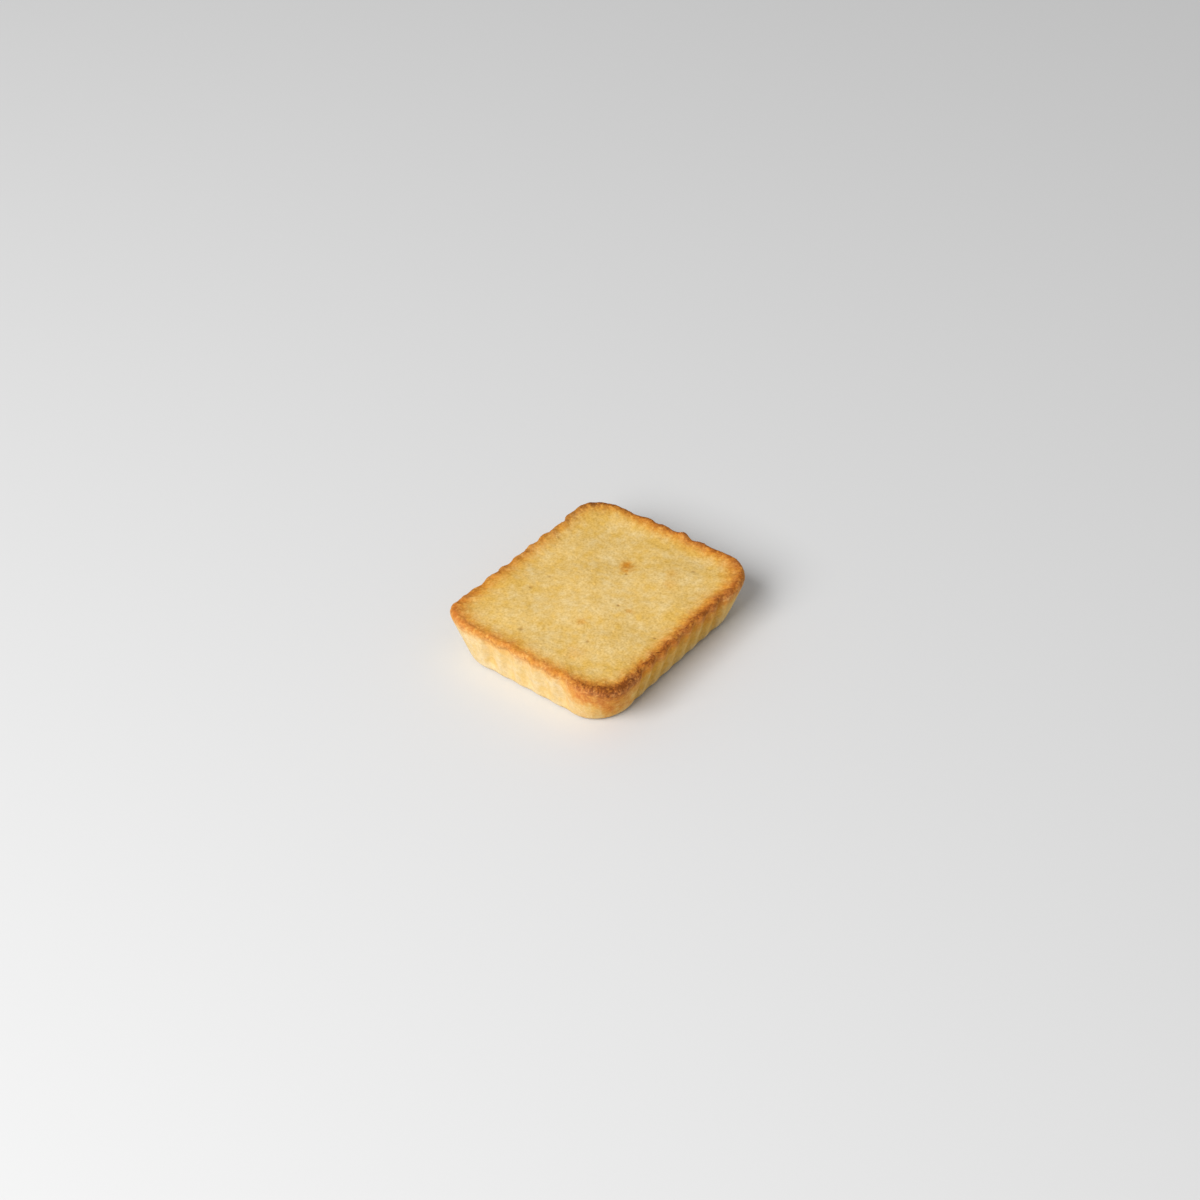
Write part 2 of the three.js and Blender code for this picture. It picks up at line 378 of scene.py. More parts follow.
@dataclass
class Stations:
    """Points round the rim of the bar, as arrays with one entry for each point."""

    place: np.ndarray
    foot: np.ndarray
    normal: np.ndarray
    groove: np.ndarray
    cornerness: np.ndarray
    lift: np.ndarray
    turn: np.ndarray = field(init=False)

    def __post_init__(self) -> None:
        """Measures how far round the outline each point lies, as a share of the whole way."""
        steps = np.linalg.norm(self.place - np.roll(self.place, 1, axis=0), axis=1)
        walked = np.cumsum(steps) - steps[0]
        self.turn = walked / steps.sum()

    def inset(self, distance: np.ndarray | float) -> np.ndarray:
        """Points that lie a distance in from the rim."""
        return self.place - self.normal * np.broadcast_to(distance, self.turn.shape)[:, None]


@dataclass
class Outline:
    """The outline of the bar over its rim, in millimetres."""

    length: float = 90.0
    width: float = 77.0
    corner_reach: float = 16.0
    flute_depth: float = 1.25
    step: float = 0.36

    def corner_points(self) -> np.ndarray:
        """The four corners of the rim as they would be if they were sharp."""
        half = np.array([self.length, self.width]) / 2.0
        return np.array([half * (c.side_x, c.side_y) + np.array(c.slump) for c in CORNERS])

    def side_normals(self) -> np.ndarray:
        """Directions out of the four sides."""
        points = self.corner_points()
        ahead = np.roll(points, -1, axis=0) - points
        return np.stack([ahead[:, 1], -ahead[:, 0]], axis=1) / np.linalg.norm(ahead, axis=1, keepdims=True)

    def rim_at(self, k: int, distance: np.ndarray | float) -> np.ndarray:
        """Points of a side's rim at distances from the corner before it."""
        points = self.corner_points()
        whole = points[(k + 1) % 4] - points[k]
        return points[k] + np.multiply.outer(distance, whole / np.linalg.norm(whole))

    def foot_at(self, k: int, distance: np.ndarray | float) -> np.ndarray:
        """The foot under points of a side's rim."""
        return self.rim_at(k, distance) - self.side_normals()[k] * SIDES[k].lean

    def flute_run(self, k: int) -> tuple[float, float, float]:
        """Measures a side from the corner before it.

        Args:
            k: Place of the side in the list.

        Returns:
            Distances to its first flute, to the end of its last one and to the next corner.
        """
        points, side = self.corner_points(), SIDES[k]
        span = float(np.linalg.norm(points[(k + 1) % 4] - points[k]))
        first = span / 2.0 + side.shift - side.flutes * side.pitch / 2.0
        return first, first + side.flutes * side.pitch, span

    def curve_length(self, k: int) -> float:
        """About the length of the curve of a corner's rim."""
        return math.pi / 4.0 * (CORNERS[k].before + CORNERS[k].after)

    def cornerness(self, from_middle: np.ndarray) -> np.ndarray:
        """1 at the middle of a corner, falling smoothly to 0 along the sides."""
        return 1.0 - smooth(from_middle / self.corner_reach)

    def bend(self, k: int) -> tuple[dict[str, np.ndarray], ...]:
        """Points round a corner, from the last flute before it to the first one after it.

        The rim is straight, round and straight again there, and the foot is one long curve.

        Args:
            k: Place of the corner in the list.

        Returns:
            The fields of Stations for the three stretches.
        """
        corner, before, normals = CORNERS[k], (k - 1) % 4, self.side_normals()
        _, last, span = self.flute_run(before)
        lengths = (span - last - corner.before, self.curve_length(k), self.flute_run(k)[0] - corner.after)
        shares = [np.arange(count) / count for count in (round(length / self.step) for length in lengths)]
        angle = shares[1] * math.pi / 2.0
        back = self.rim_at(before, span - corner.before) - self.rim_at(k, 0.0)
        ahead = self.rim_at(k, corner.after) - self.rim_at(k, 0.0)
        ways = np.outer(np.sin(angle), ahead) - np.outer(np.cos(angle), back)
        turned = np.stack([ways[:, 1], -ways[:, 0]], axis=1)
        places = (
            self.rim_at(before, last + shares[0] * lengths[0]),
            quarter_ellipse(self.rim_at(k, 0.0), back, ahead, angle),
            self.rim_at(k, corner.after + shares[2] * lengths[2]),
        )
        facing = (
            np.tile(normals[before], (len(shares[0]), 1)),
            turned / np.linalg.norm(turned, axis=1, keepdims=True),
            np.tile(normals[k], (len(shares[2]), 1)),
        )
        sharp = self.foot_at(k, 0.0) - normals[before] * SIDES[before].lean
        foot_ways = self.foot_at(before, last) - sharp, self.foot_at(k, self.flute_run(k)[0]) - sharp
        runs = []
        for i, (share, place, normal) in enumerate(zip(shares, places, facing)):
            walked = sum(lengths[:i]) + share * lengths[i]
            run = {"place": place, "normal": normal, "groove": np.zeros(len(share))}
            run["foot"] = quarter_ellipse(sharp, *foot_ways, walked / sum(lengths) * math.pi / 2.0)
            run["cornerness"] = self.cornerness(np.abs(walked - lengths[0] - lengths[1] / 2.0))
            run["lift"] = np.full(len(share), corner.lift)
            runs.append(run)
        return tuple(runs)

    def along_flutes(self, k: int) -> dict[str, np.ndarray]:
        """Points along the flutes of one side.

        Args:
            k: Place of the side in the list.

        Returns:
            The fields of Stations for those points.
        """
        side, following = SIDES[k], (k + 1) % 4
        first, last, span = self.flute_run(k)
        count = round((last - first) / self.step)
        distance = first + np.arange(count) / count * (last - first)
        phase = (distance - first) / side.pitch
        behind = blend(side.recess, side.last_recess, phase / side.flutes)
        set_back = behind * smooth(2.0 * phase) * smooth(2.0 * (side.flutes - phase))
        early = distance < span / 2.0
        from_middle = np.where(
            early,
            distance - CORNERS[k].after + self.curve_length(k) / 2.0,
            span - distance - CORNERS[following].before + self.curve_length(following) / 2.0,
        )
        return {
            "place": self.rim_at(k, distance),
            "foot": self.foot_at(k, distance),
            "normal": np.tile(self.side_normals()[k], (count, 1)),
            "groove": set_back + self.flute_depth * np.sin(math.pi * phase) ** 2,
            "cornerness": self.cornerness(from_middle),
            "lift": np.where(early, CORNERS[k].lift, CORNERS[following].lift),
        }

    def stations(self) -> Stations:
        """All points round the outline, anticlockwise from the near corner."""
        bends = [self.bend(k) for k in range(4)]
        runs = []
        for k, (_, curve, tail) in enumerate(bends):
            runs += [curve, tail, self.along_flutes(k), bends[(k + 1) % 4][0]]
        return Stations(**{name: np.concatenate([r[name] for r in runs]) for name in runs[0]})


@dataclass
class Skin:
    """The surface of the bar: its points and triangles, and where each point lies on the bar."""

    place: np.ndarray
    turn: np.ndarray
    inward: np.ndarray
    drop: np.ndarray
    groove: np.ndarray
    triangles: np.ndarray

    SIDE_LEAD: ClassVar[float] = 0.4
    SIDE_REACH: ClassVar[float] = 2.4
    RIM_INWARD: ClassVar[float] = 2.6
    RIM_DROP: ClassVar[float] = 0.8
    RIM_REACH: ClassVar[float] = 3.0

    def side_share(self) -> np.ndarray:
        """0 on the top and the crest, 1 on the sides."""
        return smooth((self.drop + self.SIDE_LEAD) / self.SIDE_REACH) * (self.drop > 0.0)

    def rim_share(self) -> np.ndarray:
        """1 on the crest of the rim, falling to 0 down the side and over the top."""
        down = smooth((self.drop - self.RIM_DROP) / self.RIM_REACH)
        return fade(self.inward, self.RIM_INWARD) * (1.0 - down)

    def normals(self) -> np.ndarray:
        """Directions out of the surface at its points."""
        a, b, c = (self.place[self.triangles[:, k]] for k in range(3))
        across = np.cross(b - a, c - a)
        total = np.zeros_like(self.place)
        for k in range(3):
            for axis in range(3):
                total[:, axis] += np.bincount(self.triangles[:, k], across[:, axis], len(total))
        return total / np.linalg.norm(total, axis=1, keepdims=True)


@dataclass
class RingStack:
    """Rings of points, one inside or above the other, that are joined into a closed surface."""

    rings: list[dict[str, np.ndarray]] = field(default_factory=list)

    def add(
        self,
        place: np.ndarray,
        height: np.ndarray | float,
        turn: np.ndarray,
        inward: np.ndarray | float = 0.0,
        drop: np.ndarray | float = 0.0,
        groove: np.ndarray | float = 0.0,
    ) -> None:
        """Adds a ring on top of the last one.

        Args:
            place: Plan places of its points.
            height: Height of the points.
            turn: How far round the outline they lie.
            inward: How far in from the crest they lie on the top.
            drop: How far below the crest they lie on a side.
            groove: Depth of the flute that they lie in.
        """
        count = len(place)
        columns = {"turn": turn, "inward": inward, "drop": drop, "groove": groove}
        ring = {name: np.broadcast_to(value, count).astype(float) for name, value in columns.items()}
        ring["place"] = np.column_stack([place, np.broadcast_to(height, count)])
        self.rings.append(ring)

    @staticmethod
    def strip(first: np.ndarray, second: np.ndarray) -> np.ndarray:
        """Triangles between two rings, which may have different numbers of points.

        Args:
            first: Numbers of the first ring's points.
            second: Numbers of the second ring's points.

        Returns:
            Three point numbers for each triangle.
        """
        n, m = len(first), len(second)
        ends = np.concatenate([np.arange(1, n + 1) / n, np.arange(1, m + 1) / m])
        on_second = np.repeat([False, True], [n, m])[np.lexsort((np.repeat([0, 1], [n, m]), ends))]
        # Each step moves on along the ring that lies behind the other.
        i = np.cumsum(~on_second) - ~on_second
        j = np.cumsum(on_second) - on_second
        third = np.where(on_second, second[(j + 1) % m], first[(i + 1) % n])
        made = np.stack([first[i % n], third, second[j % m]], axis=1)
        if n == 1:
            return made[on_second]
        if m == 1:
            return made[~on_second]
        return made

    def skin(self) -> Skin:
        """Joins the rings in order into one surface."""
        sizes = [len(r["place"]) for r in self.rings]
        starts = np.cumsum([0, *sizes])
        numbers = [np.arange(a, b) for a, b in zip(starts, starts[1:])]
        triangles = np.concatenate([self.strip(a, b) for a, b in zip(numbers, numbers[1:])])
        columns = {name: np.concatenate([r[name] for r in self.rings]) for name in self.rings[0]}
        return Skin(triangles=triangles, **columns)


@dataclass
class Surface:
    """The finished surface of the bar: points, triangles and traits."""

    place: np.ndarray
    triangles: np.ndarray
    traits: dict[Trait, np.ndarray]


@dataclass
class Crust:
    """How the bar is baked: where it is brown, dark, golden and pale, and where painted shade lies on the
    shaded sides, in the flutes, on the lip and inside the crest. Sizes are in millimetres.

    Swells make a share uneven, and a curve is how sharply it fades. A share starts at its lead and grows
    over its reach, or over its rise from the foot, where its foot is what is left of it.
    """

    outline: Outline
    noise: CrumbNoise
    reach_swells: Swells = ((5.0, 0.25), (2.1, 0.15))
    inward_curve: float = 1.25
    down_curve: float = 1.45
    ridge_band: float = 0.85
    # Partly painted shade: the brown band reaches lower in the flute hollows.
    hollow_brown_and_shade: float = 0.35
    side_brown_and_shade_swells: Swells = ((5.5, 0.8), (2.3, 0.7))
    side_brown_and_shade_rise: float = 7.0
    side_brown_and_shade_foot: float = 0.2
    singe_inward: float = 1.4
    singe_inward_curve: float = 0.9
    singe_down_curve: float = 1.5
    # Painted shade of a small step just inside the crest: a broken dark line.
    line_swells: Swells = ((4.0, 2.0),)
    line_lead: float = 0.4
    line_shade: float = 0.12
    line_at: float = 0.7
    line_width: float = 0.4
    # Painted shade on the outer edge of the rim.
    lip_at: float = 1.1
    lip_width: float = 0.95
    # Painted shade in the flute hollows: how dark, and how far past their middle it lies.
    flute_shade_depth: float = 0.11
    flute_past: float = 0.0036
    flute_lead: float = 0.5
    flute_reach: float = 0.9
    gold_lead: float = 0.5
    gold_reach: float = 3.0
    gold_rise: float = 8.0
    gold_foot: float = 0.3
    ridge_gold: float = 0.9
    # Painted shade: more golden in the flute hollows.
    hollow_shade_gold: float = 0.2
    streak_gold: float = 0.25
    tone_swells: Swells = ((14.0, 0.15), (7.0, 0.6), (3.6, 0.7), (1.9, 0.5))
    edge_reach: float = 11.0
    edge_tone: Range = (0.25, 0.65)
    # Painted shade: pale ridges and golden flute hollows.
    flute_shade_tone: Range = (0.4, 1.2)
    flute_mean: float = 0.6
    side_tone: float = -0.05
    streak_tone: float = 0.2
    streak_size: float = 2.6
    streak_squash: tuple[float, float, float] = (1.0, 1.0, 0.15)
    streak_sharpness: float = 4.0
    spot_swells: Swells = ((1.7, 0.35),)
    spot_toast: float = 0.5
    spot_singe: float = 0.35
    spot_gold: float = 1.3
    raised_toast: float = 0.5
    raised_singe: float = 0.9

    def along(self, skin: Skin, name: str) -> np.ndarray:
        """One of the values of the browning, at every point of the surface."""
        values = [getattr(b, name) for b in BROWNINGS]
        return np.interp(skin.turn, [b.at for b in BROWNINGS], values, period=1.0)

    def reach(self, skin: Skin) -> np.ndarray:
        """Makes the reach of the browning uneven, from about 0.7 to 1.3."""
        return 1.0 + self.noise.mixed(skin.place, self.reach_swells)

    def hollow(self, skin: Skin) -> np.ndarray:
        """How deep in a flute each point lies: 0 on the ridges, 1 in a plain flute."""
        return skin.groove / self.outline.flute_depth

    def browning(self, skin: Skin) -> np.ndarray:
        """How far the crust is browned: most on the rim, and a little all down the sides, with painted
        shade on the shaded half of the near corner and in the flute hollows.
        """
        reach = self.reach(skin)
        over_top = fade(skin.inward, self.along(skin, "inward") * reach, self.inward_curve)
        # Partly painted shade: the brown band reaches lower in the flute hollows.
        band = self.along(skin, "down") * reach * (self.ridge_band + self.hollow_brown_and_shade * self.hollow(skin))
        over_side = fade(skin.drop, band, self.down_curve)
        rim = self.along(skin, "strength") * np.where(skin.drop > 0.0, over_side, over_top)
        uneven = np.maximum(1.0 + self.noise.mixed(skin.place, self.side_brown_and_shade_swells), 0.0)
        over = smooth((skin.place[:, 2] - self.along(skin, "above")) / self.side_brown_and_shade_rise)
        # Side brown, with painted shade on the shaded half of the near corner.
        side_brown_and_shade = self.along(skin, "side_brown_and_shade") * blend(self.side_brown_and_shade_foot, 1.0, over) * uneven
        return rim + side_brown_and_shade * skin.side_share()

    def singe(self, skin: Skin) -> np.ndarray:
        """How dark the crust is: singed on the crest, with painted shade in a line inside it, on the lip
        and in the flutes.
        """
        reach, on_side = self.reach(skin), skin.drop > 0.0
        over_top = fade(skin.inward, self.singe_inward * reach, self.singe_inward_curve)
        over_side = fade(skin.drop, self.along(skin, "deep") * reach, self.singe_down_curve)
        crest = self.along(skin, "singe") * np.where(on_side, over_side, over_top)
        # Painted shade: a broken dark line just inside the crest.
        broken = smooth(self.noise.mixed(skin.place, self.line_swells) + self.line_lead)
        line = self.line_shade * broken * fade(skin.inward - self.line_at, self.line_width) * ~on_side
        # Painted shade darkens the outer edge of the rim.
        lip = self.along(skin, "lip") * fade(skin.drop - self.lip_at, self.lip_width) * on_side
        # Painted shade in the flute hollows.
        flutes = self.flute_shade_depth * self.along(skin, "side_golden_and_shade") * skin.side_share() * self.painted_flute_shade(skin)
        return crest + line + lip + flutes

    def painted_flute_shade(self, skin: Skin) -> np.ndarray:
        """Painted shade in the flutes: 1 in the flutes, a little past their middle on the way round, and 0
        on the ridges.
        """
        stations = self.outline.stations()
        past = np.interp(skin.turn - self.flute_past, stations.turn, stations.groove, period=1.0)
        return smooth((past / self.outline.flute_depth - self.flute_lead) / self.flute_reach)

    def gold(self, skin: Skin) -> np.ndarray:
        """How golden and dark the sides are, fading to the foot, least where the side is pale: golden
        crust, with painted shade on the sides turned from the light and in the flute hollows.
        """
        foot = self.gold_foot + self.along(skin, "side_brown_and_shade")
        low = blend(foot, 1.0, smooth(skin.place[:, 2] / self.gold_rise))
        below = smooth((skin.drop - self.gold_lead) / self.gold_reach)
        # Painted shade: more golden in the flute hollows.
        flutes = self.ridge_gold + self.hollow_shade_gold * self.hollow(skin)
        return self.along(skin, "side_golden_and_shade") * below * low * (flutes - self.streak_gold * self.streaks(skin))

    def streaks(self, skin: Skin) -> np.ndarray:
        """1 along thin wavy lines that run up the sides, 0 between them."""
        waves = self.noise.waves(skin.place * self.streak_squash, self.streak_size)
        return smooth(1.0 - self.streak_sharpness * np.abs(waves))

    def tone(self, skin: Skin) -> np.ndarray:
        """Patches of the crumb, from about -1 where it is golden to 1 where it is pale, with painted shade
        that makes the flute hollows golden and the ridges pale.
        """
        side, side_golden_and_shade = skin.side_share(), self.along(skin, "side_golden_and_shade")
        edge = blend(*self.edge_tone, side_golden_and_shade) * fade(skin.inward, self.edge_reach)
        # Painted shade: golden flute hollows and pale ridges.
        flutes = blend(*self.flute_shade_tone, side_golden_and_shade) * (self.hollow(skin) - self.flute_mean)
        ridges = self.side_tone + self.streak_tone * self.streaks(skin) - flutes
        return self.noise.mixed(skin.place, self.tone_swells) - edge * (1.0 - side) + side * ridges

    def marks(self, skin: Skin) -> tuple[np.ndarray, np.ndarray]:
        """Browned spots and pits of the top.

        Args:
            skin: The bar's surface.

        Returns:
            Browning added by the spots, and depth of the pits from 0 to 1.
        """
        ragged = 1.0 + self.noise.mixed(skin.place, self.spot_swells)
        toast = np.zeros(len(skin.place))
        pit = np.zeros(len(skin.place))
        on_top = skin.inward > 0.0
        for mark in MARKS:
            away = np.hypot(skin.place[:, 0] - mark.x, skin.place[:, 1] - mark.y)
            spot = fade(away, mark.radius * ragged) * on_top
            toast += mark.toast * spot
            pit = np.maximum(pit, mark.pit * spot)
        return toast, pit

    def traits(self, skin: Skin, height: np.ndarray, own: np.ndarray) -> dict[Trait, np.ndarray]:
        """What the finish reads at each point.

        Args:
            skin: The bar's surface.
            height: Height of its relief.
            own: Each point's own grain number.

        Returns:
            A value for each point, for each trait.
        """
        spots, pits = self.marks(skin)
        raised = skin.rim_share() * height
        toast = self.browning(skin) * (1.0 + self.raised_toast * raised) + self.spot_toast * spots
        singe = self.singe(skin) * (1.0 + self.raised_singe * raised) + self.spot_singe * spots
        return {
            Trait.TOAST: np.clip(toast, 0.0, 1.0),
            Trait.SINGE: np.clip(singe, 0.0, 1.0),
            Trait.GOLD: np.clip(self.gold(skin) + self.spot_gold * spots, 0.0, 1.0),
            Trait.TONE: self.tone(skin),
            Trait.SIDE: skin.side_share(),
            Trait.PIT: pits,
            Trait.GRAIN: own,
        }


@dataclass
class CrumbRelief:
    """The fine relief of the crumb: swells, grains, crags of the rim and pores, in millimetres."""

    noise: CrumbNoise
    swells: Swells = ((5.5, 0.08), (2.4, 0.05))
    grain_size: float = 1.0
    grain_height: float = 0.085
    grain_step: float = 0.035
    fine_size: float = 0.65
    fine_height: float = 0.05
    fine_shift: float = 31.7
    crag_size: float = 1.5
    crag_height: float = 0.14
    crag_step: float = 0.1
    crag_shift: float = 57.3
    pore_from: float = 0.965
    pore_reach: float = 0.02
    pore_depth: float = 0.25
    pore_sharpness: float = 1.6
    side_pores: float = 0.5
    side_rough: float = 0.7
    foot_fade: float = 1.6

    def heights(self, skin: Skin) -> tuple[np.ndarray, np.ndarray]:
        """Lays the relief on the bar's form, rougher on the rim and smoother on the sides.

        Args:
            skin: The bar's surface.

        Returns:
            Height over the plain form in millimetres, and each point's own grain number from 0 to 1.
        """
        side, rim = skin.side_share(), skin.rim_share()
        coarse, own = self.noise.grains(skin.place, self.grain_size)
        fine, _ = self.noise.grains(skin.place + self.fine_shift, self.fine_size)
        lumps, lump_own = self.noise.grains(skin.place + self.crag_shift, self.crag_size)
        rough = blend(1.0, self.side_rough, side) + rim
        grain = self.grain_height * (0.5 - coarse) + self.fine_height * (0.5 - fine)
        grain += self.grain_step * (own - 0.5)
        crag = rim * (self.crag_height * (0.5 - lumps) + self.crag_step * (lump_own - 0.5))
        hole = smooth((own - self.pore_from) / self.pore_reach) * smooth(1.0 - self.pore_sharpness * coarse)
        pore = self.pore_depth * hole * blend(1.0, self.side_pores, side)
        height = rough * (self.noise.mixed(skin.place, self.swells) + grain) + crag - pore
        return height * smooth(skin.place[:, 2] / self.foot_fade), own


def mesh_piece(
    name: str, place: np.ndarray, triangles: np.ndarray, traits: dict[Trait, np.ndarray]
) -> bpy.types.Object:
    """Makes a smooth mesh piece that rides on the bar.

    Args:
        name: Name of the piece.
        place: Points in millimetres.
        triangles: Three point numbers for each triangle.
        traits: A value for each point, for each trait.

    Returns:
        The piece, linked to the scene.
    """
    mesh = bpy.data.meshes.new(name)
    mesh.from_pydata((place * MM).tolist(), [], triangles.tolist())
    mesh.shade_smooth()
    for trait, values in traits.items():
        stored = mesh.attributes.new(trait.value, "FLOAT", "POINT")
        stored.data.foreach_set("value", values.astype(np.float32))
    piece = bpy.data.objects.new(name, mesh)
    bpy.context.scene.collection.objects.link(piece)
    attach(piece, BODY)
    return piece


@dataclass
class CakeBar:
    """The bar itself: the form of the solid, with the crumb's relief and browning."""

    outline: Outline
    crust: Crust
    relief: CrumbRelief
    height: float = 18.8
    belly: float = 0.5
    foot_round: float = 2.0
    flute_foot_share: float = 0.25
    flute_fade: float = 8.0
    flute_crest_share: float = 0.45
    rim_round: float = 2.0
    rim_slope: float = 8.5
    rim_drop: float = 1.0
    slope_curve: float = 1.6
    top_tilt: float = 0.4
    dome: float = 0.7
    crag_at: float = 0.41
    crag_spread: float = 0.006
    crag_height: float = 1.0
    pit_depth: float = 0.3
    base_rings: tuple[tuple[float, int], ...] = ((0.3, 8), (0.6, 4), (0.85, 2))
    top_step: float = 0.32
    foot_steps: int = 5
    wall_steps: int = 28
    lip_steps: int = 11
    slope_steps: int = 26
    top_steps: int = 88
    fewest_points: int = 6

    @property
    def wall_top(self) -> float:
        """Height where the sides run into the rim."""
        return self.height - self.rim_round

    def crest_rise(self, s: Stations) -> np.ndarray:
        """How far the crest of the rim lies over its mean height."""
        waves = sum(w.height * np.sin(2.0 * math.pi * w.run[0] * s.turn + w.phase) for w in CREST_WAVES)
        crag = self.crag_height * fade(s.turn - self.crag_at, self.crag_spread)
        return waves + crag + s.lift * s.cornerness

    def top_height(self, place: np.ndarray) -> np.ndarray:
        """Height of the top inside the rim: a low tilted dome with swells and hollows."""
        x, y = place[:, 0], place[:, 1]
        dome = np.cos(math.pi * x / self.outline.length) * np.cos(math.pi * y / self.outline.width)
        swells = sum(
            w.height * np.sin(2.0 * math.pi * (x / w.run[0] + y / w.run[1]) + w.phase) for w in TOP_WAVES
        )
        tilt = -self.top_tilt * x / (self.outline.length / 2.0)
        return self.height - self.rim_drop + tilt + self.dome * dome + swells

    def wall_points(self, s: Stations, z: float, rounding: float = 0.0) -> np.ndarray:
        """Points of the sides at a height.

        Args:
            s: Points round the rim.
            z: Height in millimetres.
            rounding: How far the rounding of the foot sets them in.

        Returns:
            Plan places, one for each point of the rim.
        """
        share = 1.0 - z / self.wall_top
        belly = self.belly * (1.0 - s.cornerness) * math.sin(math.pi * share)
        flute = blend(self.flute_foot_share, 1.0, smooth(z / self.flute_fade))
        out = belly - s.groove * flute - rounding
        return blend(s.place, s.foot, share) + s.normal * out[:, None]

    def lay_base(self, stack: RingStack, s: Stations) -> None:
        """Adds the rings of the flat base and of the round foot."""
        edge = self.wall_points(s, 0.0, self.foot_round)
        stack.add(np.zeros((1, 2)), 0.0, np.zeros(1), drop=self.height)
        for share, every in self.base_rings:
            stack.add(edge[::every] * share, 0.0, s.turn[::every], drop=self.height)
        for angle in np.linspace(0.0, math.pi / 2.0, self.foot_steps):
            rounding = self.foot_round * (1.0 - math.sin(angle))
            z = self.foot_round * (1.0 - math.cos(angle))
            place = self.wall_points(s, z, rounding)
            stack.add(place, z, s.turn, drop=self.height - z, groove=s.groove)

    def lay_walls(self, stack: RingStack, s: Stations) -> None:
        """Adds the rings of the fluted sides, up to the rim."""
        rise = self.crest_rise(s)
        for share in np.linspace(0.0, 1.0, self.wall_steps, endpoint=False)[1:]:
            z = blend(self.foot_round, self.wall_top, share)
            place = self.wall_points(s, z)
            stack.add(place, z + rise * smooth(share), s.turn, drop=self.height - z, groove=s.groove)

    def slope_foot(self, s: Stations) -> np.ndarray:
        """Foot of the slope inside the rim: the outline drawn in, so that its corners stay round."""
        reach = 2.0 * (self.rim_round + self.rim_slope)
        return s.place * (1.0 - reach / np.array([self.outline.length, self.outline.width]))

    def lay_rim(self, stack: RingStack, s: Stations) -> None:
        """Adds the rings of the round lip and of the slope inside it."""
        crest = self.height + self.crest_rise(s)
        for angle in np.linspace(0.0, math.pi / 2.0, self.lip_steps):
            below = self.rim_round * (1.0 - math.sin(angle))
            flute = blend(1.0, self.flute_crest_share, math.sin(angle))
            place = s.inset(self.rim_round * (1.0 - math.cos(angle)) + s.groove * flute)
            stack.add(place, crest - below, s.turn, drop=below, groove=s.groove)
        edge, foot = s.inset(self.rim_round + s.groove * self.flute_crest_share), self.slope_foot(s)
        for share in np.linspace(0.0, 1.0, self.slope_steps)[1:]:
            fall = 1.0 - (1.0 - share) ** self.slope_curve
            place = blend(edge, foot, share)
            height = blend(crest, self.top_height(place), fall)
            stack.add(place, height, s.turn, inward=self.rim_slope * share)

    def lay_top(self, stack: RingStack, s: Stations) -> None:
        """Adds the rings of the top, with fewer points the nearer they lie to its middle."""
        edge = self.slope_foot(s)
        steps = np.linalg.norm(edge - np.roll(edge, 1, axis=0), axis=1)
        walked = np.cumsum(steps) - steps[0]
        for share in np.linspace(1.0, 0.0, self.top_steps, endpoint=False)[1:]:
            count = max(self.fewest_points, round(steps.sum() * share / self.top_step))
            at = np.arange(count) / count * steps.sum()
            columns = (edge[:, 0], edge[:, 1], s.normal[:, 0], s.normal[:, 1])
            x, y, nx, ny = (np.interp(at, walked, c, period=steps.sum()) for c in columns)
            turn = np.interp(at, walked, s.turn)
            place = np.stack([x, y], axis=1) * share
            inward = self.rim_slope + (1.0 - share) * (x * nx + y * ny)
            stack.add(place, self.top_height(place), turn, inward=inward)
        middle = np.zeros((1, 2))
        stack.add(middle, self.top_height(middle), np.zeros(1), inward=self.outline.width / 2.0)

    def form(self) -> Skin:
        """The plain form of the bar, set over the middle of its solid."""
        stack, stations = RingStack(), self.outline.stations()
        for lay in (self.lay_base, self.lay_walls, self.lay_rim, self.lay_top):
            lay(stack, stations)
        skin = stack.skin()
        low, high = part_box(NODE)
        middle = np.array((low + high) / 2.0)[:2] / MM
        skin.place[:, :2] += middle - (skin.place[:, :2].min(0) + skin.place[:, :2].max(0)) / 2.0
        return skin

    def surface(self) -> Surface:
        """The form with its relief, and what the finish reads at each point."""
        skin = self.form()
        height, own = self.relief.heights(skin)
        traits = self.crust.traits(skin, height, own)
        lift = height - self.pit_depth * traits[Trait.PIT]
        place = skin.place + skin.normals() * lift[:, None]
        place[:, 2] = np.maximum(place[:, 2], 0.0)
        return Surface(place, skin.triangles, traits)

    def build(self, surface: Surface) -> bpy.types.Object:
        """Makes the bar's mesh, which takes the place of its solid."""
        piece = mesh_piece("cake_bar", surface.place, surface.triangles, surface.traits)
        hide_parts(NODE)
        return piece


@dataclass(frozen=True)
class Specks:
    """Fine specks: noise of a size in millimetres, and the change that a span of its values makes."""

    size: float
    detail: float
    span: Range
    change: Range


